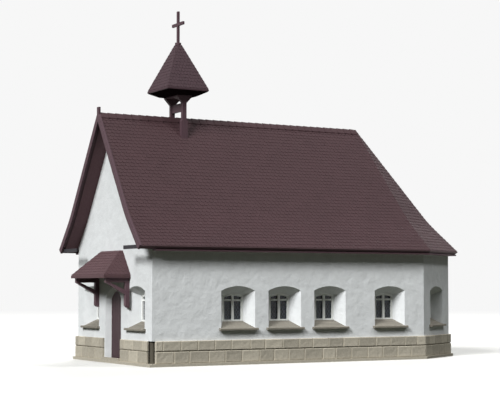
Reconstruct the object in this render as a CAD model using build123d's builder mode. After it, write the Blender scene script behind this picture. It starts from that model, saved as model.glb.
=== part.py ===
"""Scale model of a small chapel: hall with a three-sided apse, porch roof and ridge turret.

Millimetres at the model's own size. +X is the building's right side, -Y its entrance
front, +Z up. The origin is on the ground under the middle of the rectangular hall.
"""
from build123d import *
import math
import os

# Plan of the hall and the apse
HALL_WIDTH = 75.0
HALL_LENGTH = 134.0
FACET_TURN = 32.0
WALL = 2.4
FOOTING_HEIGHT = 1.2
FOOTING_PROUD = 0.7
PLINTH_HEIGHT = 9.0
PLINTH_PROUD = 1.0
PLINTH_WEATHERING = 0.4

# Gap left open in the plinth at the right front corner, and the hollow behind it
GAP_FRONT = 4.2
GAP_SIDE = 2.3
GAP_POCKET = 8.0

# Main roof, heights above the ground
RIDGE_HEIGHT = 105.0
EAVE_HEIGHT = 48.0
EAVE_OVERHANG = 4.0
FLARE_RUN = 12.0
FLARE_PITCH = 48.0
FLARE_RADIUS = 60.0
ROOF_THICKNESS = 1.7
VERGE_OVERHANG = 6.7
BARGE_THICKNESS = 0.9
BARGE_LIFT = 0.5
BARGE_DEPTH = 2.0
RIDGE_CAP_WIDTH = 1.9
RIDGE_CAP_THICKNESS = 0.45
FINIAL_WIDTH = 1.9
FINIAL_RISE = 1.7
SOFFIT_THICKNESS = 0.6
SOFFIT_PROUD = 0.6
RETURN_LENGTH = 16.0
RETURN_LIFT = 0.75
RETURN_THICKNESS = 1.9

# Splayed windows, heights above the ground
WINDOW_WIDTH = 16.0
WINDOW_CROWN = 32.2
WINDOW_RISE = 1.9
WINDOW_BOTTOM = 14.4
REVEAL_DEPTH = 4.7
REVEAL_SPLAY = 34.0
REVEAL_BOX = 0.9
FRAME_WIDTH = 0.75
FRAME_THICKNESS = 0.8
GLASS_THICKNESS = 0.4
GLASS_LAP = 0.5
SIDE_WINDOWS = (39.3, 61.7, 84.3, 115.5)
FRONT_WINDOW_OFFSET = 22.75

# Stone window sills: a sloping slab in the splay and a nosing on the wall
SILL_SLAB = 0.6
SILL_SLAB_INNER = 0.15
SILL_WING = 1.0
SILL_PROUD = 1.4
SILL_NOSING = 0.9
SILL_FALL = 0.25

# Door
DOOR_WIDTH = 15.8
DOOR_CROWN = 31.4
DOOR_RISE = 4.4
DOOR_SPLAY = 24.0
LEAF_LAP = 0.8
LEAF_THICKNESS = 1.2
STEP_HEIGHT = 1.0
DOOR_MARGIN = 0.9

# Hipped porch roof on two wall brackets
PORCH_HALF_WIDTH = 17.3
PORCH_DEPTH = 12.0
PORCH_EAVE_HEIGHT = 36.6
PORCH_TOP_HEIGHT = 47.0
PORCH_TOP_HALF_WIDTH = 9.4
PORCH_TOP_DEPTH = 1.4
PORCH_FASCIA = 1.1
PORCH_SHELL = 1.2
BRACKET_OFFSET = 15.35
BRACKET_TIMBER = 1.8
BRACKET_FOOT_HEIGHT = 23.3
BRACKET_REACH = 10.6
BRACKET_BRACE_DROP = 3.2

# Ridge turret: heights from the ridge up, widths and thicknesses of its timbers
TURRET_FROM_FRONT = 30.2
POST_OFFSET = 5.6
POST_THICKNESS = 1.7
POST_WIDTH = 1.9
POST_FOOT_WIDTH = 2.9
POST_FOOT_HEIGHT = 9.0
POST_HEAD_WIDTH = 7.2
POST_HEAD_DROP = 2.8
RAIL_ABOVE_RIDGE = 2.6
RAIL_HEIGHT = 3.6
RAIL_THICKNESS = 1.2
HEAD_ABOVE_RIDGE = 8.9
HEAD_THICKNESS = 0.5
SPIRE_SOFFIT_HALF = 6.0
SPIRE_SOFFIT_DROP = 2.0
SPIRE_FASCIA = 0.6
SPIRE_HALF_WIDTH = 9.95
SPIRE_RISE = 20.2
SPIRE_TOP_HALF = 1.1

# Cross on the spire, its lower arm from the spire's top to the bar's middle
COLLAR_RADIUS = 1.35
COLLAR_HEIGHT = 0.9
CROSS_LOWER_ARM = 9.0
CROSS_UPPER_ARM = 5.7
CROSS_SPAN = 10.4
CROSS_WIDTH = 1.3
CROSS_THICKNESS = 0.9

# Places that follow from the driving sizes
half_width = HALL_WIDTH / 2
front_y = -HALL_LENGTH / 2
back_y = HALL_LENGTH / 2
apex_y = back_y - half_width * math.tan(math.radians(FACET_TURN / 2))
verge_y = front_y - VERGE_OVERHANG
eave_half = half_width + EAVE_OVERHANG
wall_foot = FOOTING_HEIGHT
plinth_top = FOOTING_HEIGHT + PLINTH_HEIGHT
turret_y = front_y + TURRET_FROM_FRONT
flare_angle = math.radians(FLARE_PITCH)
break_x = eave_half - FLARE_RUN
break_z = EAVE_HEIGHT + FLARE_RUN * math.tan(flare_angle)
slope_angle = math.atan((RIDGE_HEIGHT - break_z) / break_x)
reveal_inset = REVEAL_DEPTH * math.tan(math.radians(REVEAL_SPLAY))
door_inset = WALL * math.tan(math.radians(DOOR_SPLAY))
head_bottom = RIDGE_HEIGHT + HEAD_ABOVE_RIDGE
soffit_bottom = head_bottom + HEAD_THICKNESS
spire_bottom = soffit_bottom + SPIRE_SOFFIT_DROP
spire_eave = spire_bottom + SPIRE_FASCIA
spire_top = spire_eave + SPIRE_RISE
far = HALL_LENGTH

# Sides of the building, counted round from the right-hand long wall
RIGHT, APSE_RIGHT, APSE_END, APSE_LEFT, LEFT = range(5)


def radial(angle):
    """Horizontal unit vector at an angle from +X."""
    return Vector(math.cos(math.radians(angle)), math.sin(math.radians(angle)), 0)


def facing(side):
    """Direction in which a side of the building looks, in degrees from +X."""
    half_turn = math.degrees(math.pi)
    return {
        RIGHT: 0, APSE_RIGHT: FACET_TURN, APSE_END: half_turn / 2,
        APSE_LEFT: half_turn - FACET_TURN, LEFT: half_turn,
    }[side]


def section_plane(side):
    """Upright plane through the apse centre: x outward from the ridge, y up."""
    across = radial(facing(side))
    return Plane(origin=(0, apex_y, 0), x_dir=across, z_dir=across.cross(Vector(0, 0, 1)))


def face_plane(side, along=0.0):
    """Outer wall face of one side: origin on the ground, x along the wall, z outward."""
    outward = radial(facing(side))
    x_dir = Vector(0, 0, 1).cross(outward)
    base = Vector(0, apex_y, 0) + outward * half_width + x_dir * along
    return Plane(origin=base, x_dir=x_dir, z_dir=outward)


def mitre_plane(side):
    """Upright plane between one side and the next, its normal towards the next side."""
    across = radial((facing(side) + facing(side + 1)) / 2)
    return Plane(origin=(0, apex_y, 0), x_dir=across, z_dir=Vector(0, 0, 1).cross(across))


def side_cuts(side, front_end=front_y):
    """Planes that end the strip on one side of the building, with the half to keep."""
    high = (mitre_plane(side), Keep.BOTTOM)
    if side == RIGHT:
        return (Plane.XZ.offset(-front_end), Keep.BOTTOM), high
    return (mitre_plane(side - 1), Keep.TOP), high


def ridge_point(drop):
    """Point on the ridge line of the surface that lies `drop` under the tile face."""
    return (0, RIDGE_HEIGHT - drop / math.cos(slope_angle))


def eave_point(drop):
    """Eave end of the surface that lies `drop` under the tile face."""
    return (eave_half - drop * math.sin(flare_angle), EAVE_HEIGHT - drop * math.cos(flare_angle))


def underside(x):
    """Height of the roof's underside above a point of the flared part."""
    end_x, end_z = eave_point(ROOF_THICKNESS)
    return end_z + (end_x - x) * math.tan(flare_angle)


def break_point(drop):
    """Where the steep part and the flare of one surface meet."""
    top = ridge_point(drop)[1]
    end_x, end_z = eave_point(drop)
    steep, flat = math.tan(slope_angle), math.tan(flare_angle)
    x = (top - end_z - end_x * flat) / (steep - flat)
    return (x, top - x * steep)


def roof_band(upper, lower):
    """Cross section of one slope between two depths under the tile face."""
    with BuildSketch() as band:
        with BuildLine():
            Polyline(
                ridge_point(upper), break_point(upper), eave_point(upper),
                eave_point(lower), break_point(lower), ridge_point(lower), close=True,
            )
        make_face()
        for drop in (upper, lower):
            corner = band.vertices().sort_by_distance((*break_point(drop), 0))[0]
            fillet(corner, radius=FLARE_RADIUS + drop)
    return band.sketch


def arch(width, bottom, crown, rise):
    """Upright opening with a segmental head, centred on the sketch's y axis."""
    side, spring = width / 2, crown - rise
    with BuildSketch() as opening:
        with BuildLine():
            Polyline((-side, spring), (-side, bottom), (side, bottom), (side, spring))
            ThreePointArc((side, spring), (0, crown), (-side, spring))
        make_face()
    return opening.sketch


def inset_arch(width, bottom, crown, rise, inset):
    """The same opening drawn in all round by one distance, its head concentric."""
    radius = (width * width / 4 + rise * rise) / (2 * rise)
    side = width / 2 - inset
    new_rise = radius - inset - math.sqrt((radius - inset) ** 2 - side * side)
    return arch(2 * side, bottom + inset, crown - inset, new_rise)


def window(inset):
    """Window outline at the wall face, drawn in all round by one distance."""
    return inset_arch(WINDOW_WIDTH, WINDOW_BOTTOM, WINDOW_CROWN, WINDOW_RISE, inset)


def doorway(inset):
    """Door outline at the wall face, drawn in at its sides and head by one distance."""
    return inset_arch(DOOR_WIDTH, wall_foot - door_inset, DOOR_CROWN, DOOR_RISE, inset)


def save(piece, name):
    """Labels a finished piece and writes it to its own file."""
    piece.part.label = name
    export_step(piece.part, f"parts/{name}.step")


def mirrored(piece):
    """The same piece on the building's left side."""
    with BuildPart() as other:
        mirror(piece.part, about=Plane.YZ)
    return other


def splay(plane):
    """The funnel that one window cuts out of the wall and its reveal box."""
    with BuildPart() as funnel:
        with BuildSketch(plane):
            add(window(0))
        extrude(amount=-REVEAL_DEPTH, taper=REVEAL_SPLAY)
    return funnel.part


def reveal_box(plane):
    """Thin box round the inner part of one splay, from inside the wall to the frame."""
    inner = WALL / 2
    start = inner * math.tan(math.radians(REVEAL_SPLAY))
    with BuildPart() as box:
        with BuildSketch(plane.offset(-inner)):
            add(window(start - REVEAL_BOX))
        extrude(amount=inner - REVEAL_DEPTH, taper=REVEAL_SPLAY)
    return box.part


def build_wall(side, planes):
    """One side of the building with its windows splayed through it."""
    with BuildPart() as wall:
        with BuildSketch(section_plane(side)):
            with BuildLine():
                Polyline(
                    (half_width - WALL, wall_foot), (half_width, wall_foot),
                    (half_width, underside(half_width)),
                    (half_width - WALL, underside(half_width - WALL)), close=True,
                )
            make_face()
        extrude(amount=far, both=True)
        for cut, keep in side_cuts(side, front_y + WALL):
            split(bisect_by=cut, keep=keep)
        for plane in planes:
            add(reveal_box(plane))
        for plane in planes:
            add(splay(plane), mode=Mode.SUBTRACT)
    return wall


def build_front_wall(planes):
    """Gable wall with the arched doorway and a splayed window on each side of it."""
    gable = Plane(origin=(0, front_y, 0), x_dir=(1, 0, 0), z_dir=(0, -1, 0))
    with BuildPart() as wall:
        with BuildSketch(gable):
            with BuildLine():
                Polyline(
                    (0, wall_foot), (half_width, wall_foot), (half_width, underside(half_width)),
                    break_point(ROOF_THICKNESS), ridge_point(ROOF_THICKNESS), close=True,
                )
            face = make_face()
            corner = face.vertices().sort_by_distance((*break_point(ROOF_THICKNESS), 0))[0]
            fillet(corner, radius=FLARE_RADIUS + ROOF_THICKNESS)
            mirror(about=Plane.YZ)
        extrude(amount=-WALL)
        for plane in planes:
            add(reveal_box(plane))
        for plane in planes:
            add(splay(plane), mode=Mode.SUBTRACT)
        with BuildSketch(gable):
            add(doorway(0))
        extrude(amount=-WALL, taper=DOOR_SPLAY, mode=Mode.SUBTRACT)
        with BuildSketch(gable):
            with Locations((half_width, wall_foot)):
                Rectangle(GAP_POCKET, PLINTH_HEIGHT, align=(Align.MAX, Align.MIN))
        extrude(amount=-WALL, mode=Mode.SUBTRACT)
    return wall


def build_frames(planes):
    """Window frames, each seated on the back of its reveal."""
    with BuildPart() as frames:
        for plane in planes:
            with BuildSketch(plane.offset(-REVEAL_DEPTH)):
                add(window(reveal_inset - REVEAL_BOX))
                add(window(reveal_inset + FRAME_WIDTH), mode=Mode.SUBTRACT)
            extrude(amount=-FRAME_THICKNESS)
    return frames


def build_glazing(planes):
    """One pane of clear sheet behind each frame."""
    with BuildPart() as glazing:
        for plane in planes:
            with BuildSketch(plane.offset(-REVEAL_DEPTH - FRAME_THICKNESS)):
                add(window(reveal_inset + FRAME_WIDTH - GLASS_LAP))
            extrude(amount=-GLASS_THICKNESS)
    return glazing


def build_sill(plane):
    """One stone sill: the slab on the floor of the splay and the nosing on the wall."""
    floor = Plane(origin=plane.origin, x_dir=-plane.z_dir, z_dir=plane.x_dir)
    with BuildPart() as sill:
        with BuildSketch(floor):
            with BuildLine():
                Polyline(
                    (0, WINDOW_BOTTOM), (0, WINDOW_BOTTOM + SILL_SLAB),
                    (REVEAL_DEPTH, WINDOW_BOTTOM + reveal_inset + SILL_SLAB_INNER),
                    (REVEAL_DEPTH, WINDOW_BOTTOM), close=True,
                )
            make_face()
        extrude(amount=WINDOW_WIDTH, both=True)
        add(splay(plane), mode=Mode.INTERSECT)
        with BuildSketch(plane):
            with Locations((0, WINDOW_BOTTOM + SILL_SLAB)):
                Rectangle(
                    WINDOW_WIDTH + 2 * SILL_WING, SILL_NOSING, align=(Align.CENTER, Align.MAX)
                )
        nosing = extrude(amount=SILL_PROUD)
        front = nosing.faces().sort_by(Axis(plane.origin, plane.z_dir))[-1]
        chamfer(front.edges().sort_by(Axis.Z)[-1], length=SILL_FALL)
    return sill


def build_sills(planes):
    """The sills of one wall."""
    with BuildPart() as sills:
        for plane in planes:
            add(build_sill(plane).part)
    return sills


def build_plinth(side, front_end=front_y):
    """Stone plinth strip along one side, its upper outer edge weathered."""
    with BuildPart() as plinth:
        with BuildSketch(section_plane(side)):
            with BuildLine():
                Polyline(
                    (half_width, wall_foot), (half_width + PLINTH_PROUD, wall_foot),
                    (half_width + PLINTH_PROUD, plinth_top - PLINTH_WEATHERING),
                    (half_width, plinth_top), close=True,
                )
            make_face()
        extrude(amount=far, both=True)
        for cut, keep in side_cuts(side, front_end):
            split(bisect_by=cut, keep=keep)
    return plinth


def build_soffit(side):
    """Soffit board from the wall face out to the foot of the roof."""
    with BuildPart() as soffit:
        with BuildSketch(section_plane(side)):
            with Locations((half_width, soffit_top)):
                reach = soffit_edge - half_width
                Rectangle(reach, SOFFIT_THICKNESS, align=(Align.MIN, Align.MAX))
        extrude(amount=far, both=True)
        for cut, keep in side_cuts(side):
            split(bisect_by=cut, keep=keep)
    return soffit


def apse_band(build_strip):
    """One strip along each of the apse's three sides, joined at the mitres."""
    with BuildPart() as band:
        for side in (APSE_RIGHT, APSE_END, APSE_LEFT):
            add(build_strip(side).part)
    return band


def build_roof(side):
    """One roof slope with its flared foot, mitred at the hips and the ridge."""
    with BuildPart() as slope:
        with BuildSketch(section_plane(side)):
            add(roof_band(0, ROOF_THICKNESS))
        extrude(amount=far, both=True)
        for cut, keep in side_cuts(side, verge_y):
            split(bisect_by=cut, keep=keep)
    return slope


def build_bargeboard():
    """Right bargeboard on the front verge, standing a little above the tiles."""
    verge = Plane(origin=(0, verge_y, 0), x_dir=(1, 0, 0), z_dir=(0, -1, 0))
    with BuildPart() as board:
        with BuildSketch(verge):
            add(roof_band(-BARGE_LIFT, BARGE_DEPTH))
        extrude(amount=BARGE_THICKNESS)
    return board


def build_bracket():
    """Right porch bracket: wall post, top timber and diagonal brace in one frame."""
    inner = BRACKET_OFFSET - BRACKET_TIMBER / 2
    side = Plane(origin=(inner, front_y, 0), x_dir=(0, -1, 0), z_dir=(-1, 0, 0))
    top = PORCH_EAVE_HEIGHT - PORCH_FASCIA
    timber = BRACKET_TIMBER
    low = top - timber - BRACKET_BRACE_DROP
    with BuildPart() as bracket:
        with BuildSketch(side):
            with Locations((0, BRACKET_FOOT_HEIGHT)):
                Rectangle(timber, top - BRACKET_FOOT_HEIGHT, align=(Align.MIN, Align.MIN))
            with Locations((0, top)):
                Rectangle(BRACKET_REACH, timber, align=(Align.MIN, Align.MAX))
            with BuildLine():
                Polyline(
                    (timber, low), (timber, low - timber),
                    (BRACKET_REACH, top - timber), (BRACKET_REACH - timber, top - timber),
                    close=True,
                )
            make_face()
        extrude(amount=-timber)
        foot = bracket.faces().sort_by(Axis.Z)[0]
        chamfer(foot.edges().sort_by(Axis.Y)[0], length=timber / 2)
    return bracket


def hipped(inset, drop):
    """Solid shape of the porch roof with its slopes drawn in and its foot let down."""
    front = Plane(origin=(0, front_y, 0), x_dir=(1, 0, 0), z_dir=(0, -1, 0))
    foot = PORCH_EAVE_HEIGHT - PORCH_FASCIA - drop
    with BuildPart() as body:
        with BuildSketch(front):
            with BuildLine():
                Polyline(
                    (0, foot), (PORCH_HALF_WIDTH, foot), (PORCH_HALF_WIDTH, PORCH_EAVE_HEIGHT),
                    (PORCH_TOP_HALF_WIDTH, PORCH_TOP_HEIGHT), (0, PORCH_TOP_HEIGHT), close=True,
                )
            make_face()
            mirror(about=Plane.YZ)
            if inset:
                offset(amount=-inset, kind=Kind.INTERSECTION)
        extrude(amount=PORCH_DEPTH - inset)
        run = PORCH_DEPTH - PORCH_TOP_DEPTH
        rise = PORCH_TOP_HEIGHT - PORCH_EAVE_HEIGHT
        slope = Plane(
            origin=(0, front_y - PORCH_DEPTH, PORCH_EAVE_HEIGHT),
            x_dir=(1, 0, 0), z_dir=(0, -rise, run),
        )
        split(bisect_by=slope.offset(-inset), keep=Keep.BOTTOM)
    return body.part


def build_post():
    """Right turret post: a widened foot on the slope and a braced head."""
    inner = POST_OFFSET - POST_THICKNESS / 2
    side = Plane(origin=(inner, turret_y, 0), x_dir=(0, 1, 0), z_dir=(1, 0, 0))
    top = head_bottom
    low = RIDGE_HEIGHT - (POST_OFFSET + POST_THICKNESS) * math.tan(slope_angle)
    foot_top = low + POST_FOOT_HEIGHT
    with BuildPart() as post:
        with BuildSketch(side):
            with BuildLine():
                Polyline(
                    (0, low), (POST_FOOT_WIDTH / 2, low), (POST_FOOT_WIDTH / 2, foot_top),
                    (POST_WIDTH / 2, foot_top + POST_FOOT_WIDTH - POST_WIDTH),
                    (POST_WIDTH / 2, top - POST_HEAD_DROP), (POST_HEAD_WIDTH / 2, top),
                    (0, top), close=True,
                )
            make_face()
            mirror(about=Plane.YZ)
        extrude(amount=POST_THICKNESS)
        with BuildSketch(Plane(origin=(0, turret_y, 0), x_dir=(1, 0, 0), z_dir=(0, -1, 0))):
            add(roof_band(0, 4 * ROOF_THICKNESS))
        extrude(amount=POST_HEAD_WIDTH, both=True, mode=Mode.SUBTRACT)
    return post


os.makedirs("parts", exist_ok=True)
soffit_top = eave_point(ROOF_THICKNESS)[1]
soffit_edge = eave_point(ROOF_THICKNESS)[0] + SOFFIT_PROUD

side_windows = [face_plane(RIGHT, front_y + y - apex_y) for y in SIDE_WINDOWS]
left_windows = [face_plane(LEFT, apex_y - front_y - y) for y in SIDE_WINDOWS]
facet_start = half_width * math.tan(math.radians(facing(APSE_RIGHT) - facing(RIGHT)) / 2)
facet_end = half_width * math.tan(math.radians(facing(APSE_END) - facing(APSE_RIGHT)) / 2)
facet_middle = (facet_end - facet_start) / 2
apse_right_window = face_plane(APSE_RIGHT, facet_middle)
apse_end_window = face_plane(APSE_END)
apse_left_window = face_plane(APSE_LEFT, -facet_middle)
apse_windows = [apse_right_window, apse_end_window, apse_left_window]
front_windows = [
    Plane(origin=(x, front_y, 0), x_dir=(1, 0, 0), z_dir=(0, -1, 0))
    for x in (-FRONT_WINDOW_OFFSET, FRONT_WINDOW_OFFSET)
]

# Footing slab under the whole plan, which is also the floor
footing_half = half_width + PLINTH_PROUD + FOOTING_PROUD
corner_one = mitre_plane(RIGHT).x_dir * math.hypot(footing_half, facet_start * footing_half / half_width)
corner_two = mitre_plane(APSE_RIGHT).x_dir * math.hypot(
    footing_half, facet_end * footing_half / half_width)
with BuildPart() as footing:
    with BuildSketch():
        with BuildLine():
            Polyline(
                (0, front_y - PLINTH_PROUD - FOOTING_PROUD),
                (footing_half, front_y - PLINTH_PROUD - FOOTING_PROUD),
                (corner_one.X, apex_y + corner_one.Y), (corner_two.X, apex_y + corner_two.Y),
                (0, apex_y + footing_half), close=True,
            )
        make_face()
        mirror(about=Plane.YZ)
    extrude(amount=FOOTING_HEIGHT)
save(footing, "footing")

# Walls
right_wall = build_wall(RIGHT, side_windows)
apse_right_wall = build_wall(APSE_RIGHT, [apse_right_window])
save(right_wall, "right_wall")
save(mirrored(right_wall), "left_wall")
save(apse_right_wall, "apse_right_wall")
save(mirrored(apse_right_wall), "apse_left_wall")
save(build_wall(APSE_END, [apse_end_window]), "apse_end_wall")
save(build_front_wall(front_windows), "front_wall")

# Plinth strips, the front one parted by the doorway
save(build_plinth(RIGHT, front_y - PLINTH_PROUD + GAP_SIDE), "plinth_right")
save(mirrored(build_plinth(RIGHT)), "plinth_left")
save(apse_band(build_plinth), "plinth_apse")
with BuildPart() as front_plinth:
    start = DOOR_WIDTH / 2 + DOOR_MARGIN
    with BuildSketch(Plane(origin=(-start, front_y, 0), x_dir=(0, -1, 0), z_dir=(-1, 0, 0))):
        with BuildLine():
            Polyline(
                (0, wall_foot), (PLINTH_PROUD, wall_foot),
                (PLINTH_PROUD, plinth_top - PLINTH_WEATHERING), (0, plinth_top), close=True,
            )
        make_face()
    extrude(amount=half_width + PLINTH_PROUD - start)
    mirror(about=Plane.YZ)
    with Locations((half_width + PLINTH_PROUD, front_y, 0)):
        Box(
            2 * GAP_FRONT, 4 * PLINTH_PROUD, 4 * PLINTH_HEIGHT,
            mode=Mode.SUBTRACT,
        )
save(front_plinth, "plinth_front")

# Windows and sills, one node for each wall
for name, planes in (
    ("right", side_windows), ("left", left_windows), ("front", front_windows), ("apse", apse_windows),
):
    save(build_frames(planes), f"{name}_window_frames")
    save(build_glazing(planes), f"{name}_glazing")
    save(build_sills(planes), f"{name}_sills")

# Door leaf behind the doorway, and the stone step in it
with BuildPart() as door_leaf:
    with BuildSketch(Plane(origin=(0, front_y + WALL, 0), x_dir=(1, 0, 0), z_dir=(0, -1, 0))):
        add(doorway(door_inset - LEAF_LAP))
        with Locations((0, wall_foot)):
            Rectangle(2 * DOOR_WIDTH, DOOR_WIDTH, align=(Align.CENTER, Align.MAX), mode=Mode.SUBTRACT)
    extrude(amount=-LEAF_THICKNESS)
save(door_leaf, "door_leaf")
with BuildPart() as door_step:
    with BuildSketch(Plane.XY.offset(wall_foot)):
        with Locations((0, front_y)):
            proud = PLINTH_PROUD + FOOTING_PROUD
            Rectangle(DOOR_WIDTH + 2 * DOOR_MARGIN, proud, align=(Align.CENTER, Align.MAX))
    extrude(amount=STEP_HEIGHT)
save(door_step, "door_step")

# Roof
right_roof = build_roof(RIGHT)
apse_right_roof = build_roof(APSE_RIGHT)
save(right_roof, "roof_right")
save(mirrored(right_roof), "roof_left")
save(apse_right_roof, "roof_apse_right")
save(mirrored(apse_right_roof), "roof_apse_left")
save(build_roof(APSE_END), "roof_apse_end")
right_soffit = build_soffit(RIGHT)
save(right_soffit, "soffit_right")
save(mirrored(right_soffit), "soffit_left")
save(apse_band(build_soffit), "soffit_apse")
right_barge = build_bargeboard()
save(right_barge, "bargeboard_right")
save(mirrored(right_barge), "bargeboard_left")

cap_drop = RIDGE_CAP_WIDTH * math.tan(slope_angle)
cap_rise = RIDGE_CAP_THICKNESS / math.cos(slope_angle)
with BuildPart() as ridge_cap:
    with BuildSketch(section_plane(RIGHT)):
        with BuildLine():
            Polyline(
                (0, RIDGE_HEIGHT), (RIDGE_CAP_WIDTH, RIDGE_HEIGHT - cap_drop),
                (RIDGE_CAP_WIDTH, RIDGE_HEIGHT - cap_drop + cap_rise),
                (0, RIDGE_HEIGHT + cap_rise), close=True,
            )
        make_face()
        mirror(about=Plane.YZ)
    extrude(amount=apex_y - verge_y)
save(ridge_cap, "ridge_cap")

with BuildPart() as finial:
    with BuildSketch(Plane(origin=(0, verge_y, 0), x_dir=(1, 0, 0), z_dir=(0, -1, 0))):
        with Locations((0, ridge_point(-BARGE_LIFT)[1] - FINIAL_WIDTH)):
            Rectangle(FINIAL_WIDTH, FINIAL_WIDTH + FINIAL_RISE, align=(Align.CENTER, Align.MIN))
    extrude(amount=BARGE_THICKNESS)
    with BuildSketch(Plane(origin=(0, verge_y, 0), x_dir=(1, 0, 0), z_dir=(0, -1, 0))):
        add(roof_band(-BARGE_LIFT, BARGE_DEPTH))
        mirror(about=Plane.YZ)
    extrude(amount=BARGE_THICKNESS, mode=Mode.SUBTRACT)
save(finial, "verge_finial")

# Short returns across the gable at both eaves, cut back to the corner of the building
with BuildPart() as returns:
    return_bottom = soffit_top - SOFFIT_THICKNESS + RETURN_LIFT
    return_end = soffit_edge - SOFFIT_PROUD
    with BuildSketch(Plane.XY.offset(return_bottom)):
        with BuildLine():
            Polyline(
                (return_end, front_y), (return_end, verge_y),
                (return_end - RETURN_LENGTH, verge_y), (half_width, front_y), close=True,
            )
        make_face()
    extrude(amount=RETURN_THICKNESS)
    with BuildSketch(Plane(origin=(0, front_y, 0), x_dir=(1, 0, 0), z_dir=(0, -1, 0))):
        add(roof_band(-RETURN_THICKNESS, ROOF_THICKNESS))
    extrude(amount=2 * VERGE_OVERHANG, both=True, mode=Mode.SUBTRACT)
    mirror(about=Plane.YZ)
save(returns, "eave_returns")

# Porch
with BuildPart() as porch_roof:
    add(hipped(0, 0))
    add(hipped(PORCH_SHELL, 2 * PORCH_SHELL), mode=Mode.SUBTRACT)
save(porch_roof, "porch_roof")
with BuildPart() as porch_brackets:
    add(build_bracket().part)
    mirror(about=Plane.YZ)
save(porch_brackets, "porch_brackets")

# Turret on the ridge
with BuildPart() as turret_posts:
    add(build_post().part)
    mirror(about=Plane.YZ)
save(turret_posts, "turret_posts")
rail_half = POST_OFFSET - POST_THICKNESS / 2
with BuildPart() as turret_rail:
    with BuildSketch(Plane.XY.offset(RIDGE_HEIGHT + RAIL_ABOVE_RIDGE)):
        with Locations((0, turret_y)):
            Rectangle(2 * rail_half, RAIL_THICKNESS)
    extrude(amount=RAIL_HEIGHT)
save(turret_rail, "turret_rail")
with BuildPart() as turret_head:
    with BuildSketch(Plane.XY.offset(head_bottom)):
        with Locations((0, turret_y)):
            Rectangle(2 * POST_OFFSET + POST_THICKNESS, POST_HEAD_WIDTH)
    extrude(amount=HEAD_THICKNESS)
save(turret_head, "turret_head")
with BuildPart() as spire:
    for number, across in enumerate(((1, 0, 0), (0, 1, 0))):
        upright = Plane(origin=(0, turret_y, 0), x_dir=across, z_dir=(across[1], -across[0], 0))
        with BuildSketch(upright):
            with BuildLine():
                Polyline(
                    (0, soffit_bottom), (SPIRE_SOFFIT_HALF, soffit_bottom),
                    (SPIRE_HALF_WIDTH, spire_bottom), (SPIRE_HALF_WIDTH, spire_eave),
                    (SPIRE_TOP_HALF, spire_top), (0, spire_top), close=True,
                )
            make_face()
            mirror(about=Plane.YZ)
        extrude(
            amount=2 * SPIRE_HALF_WIDTH, both=True, mode=Mode.INTERSECT if number else Mode.ADD
        )
save(spire, "spire")
with BuildPart() as cross:
    with BuildSketch(Plane.XY.offset(spire_top)):
        with Locations((0, turret_y)):
            Circle(COLLAR_RADIUS)
    extrude(amount=COLLAR_HEIGHT)
    with BuildSketch(Plane(origin=(0, turret_y, spire_top), x_dir=(1, 0, 0), z_dir=(0, -1, 0))):
        Rectangle(CROSS_WIDTH, CROSS_LOWER_ARM + CROSS_UPPER_ARM, align=(Align.CENTER, Align.MIN))
        with Locations((0, CROSS_LOWER_ARM)):
            Rectangle(CROSS_SPAN, CROSS_WIDTH)
    extrude(amount=CROSS_THICKNESS / 2, both=True)
save(cross, "cross")
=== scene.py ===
"""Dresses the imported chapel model: tiles, stones, plaster, windows, door and trim.

Lengths are written in millimetres in the frame of the CAD model and turned to metres
when a mesh is made. +X is the building's right side, -Y its entrance front, +Z up.
"""

import itertools
import logging
import math
import random
from dataclasses import dataclass, field
from enum import Enum
from functools import cached_property
from typing import Iterable, Sequence

import bmesh
import bpy
from bpy.types import Material, Node, NodeSocket, NodeTree
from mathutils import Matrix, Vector


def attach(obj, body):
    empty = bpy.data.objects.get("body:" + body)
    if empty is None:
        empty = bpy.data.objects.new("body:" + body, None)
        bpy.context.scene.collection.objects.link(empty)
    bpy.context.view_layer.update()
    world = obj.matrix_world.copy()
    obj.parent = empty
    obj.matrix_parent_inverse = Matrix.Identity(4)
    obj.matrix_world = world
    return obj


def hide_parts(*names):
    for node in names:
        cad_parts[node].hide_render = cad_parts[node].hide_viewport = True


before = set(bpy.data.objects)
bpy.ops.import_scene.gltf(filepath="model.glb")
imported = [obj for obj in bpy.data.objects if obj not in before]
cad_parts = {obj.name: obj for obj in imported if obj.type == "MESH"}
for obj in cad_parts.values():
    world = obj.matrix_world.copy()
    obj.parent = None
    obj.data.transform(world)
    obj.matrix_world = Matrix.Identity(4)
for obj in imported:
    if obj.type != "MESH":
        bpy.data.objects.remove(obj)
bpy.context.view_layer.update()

Pair = tuple[float, float]

LOG = logging.getLogger("chapel")
MM = 0.001
BODY = "root"
RIGHT = Vector((1.0, 0.0, 0.0))
BACK = Vector((0.0, 1.0, 0.0))
UP = Vector((0.0, 0.0, 1.0))
WHITE = (1.0, 1.0, 1.0, 1.0)
POLYSTYRENE_IOR = 1.59


# Colours and nodes

def linear(hex_colour: str) -> tuple[float, float, float, float]:
    """Turns an sRGB hex colour into the linear colour that a shader takes.

    Args:
        hex_colour: A hash sign and six hex digits.

    Returns:
        Linear red, green and blue, and an alpha of one.
    """
    channels = [int(hex_colour[i:i + 2], 16) / 255 for i in (1, 3, 5)]
    bent = [c / 12.92 if c <= 0.04045 else ((c + 0.055) / 1.055) ** 2.4 for c in channels]
    return (*bent, 1.0)


def feed(tree: NodeTree, node: Node, inputs: dict[str | int, object]) -> None:
    """Gives a node its values and links.

    Args:
        tree: Node tree that the node is in.
        node: The node.
        inputs: A value or an output socket for each input, by its name or number.
    """
    for key, value in inputs.items():
        if isinstance(value, NodeSocket):
            tree.links.new(value, node.inputs[key])
        else:
            node.inputs[key].default_value = value


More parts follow.
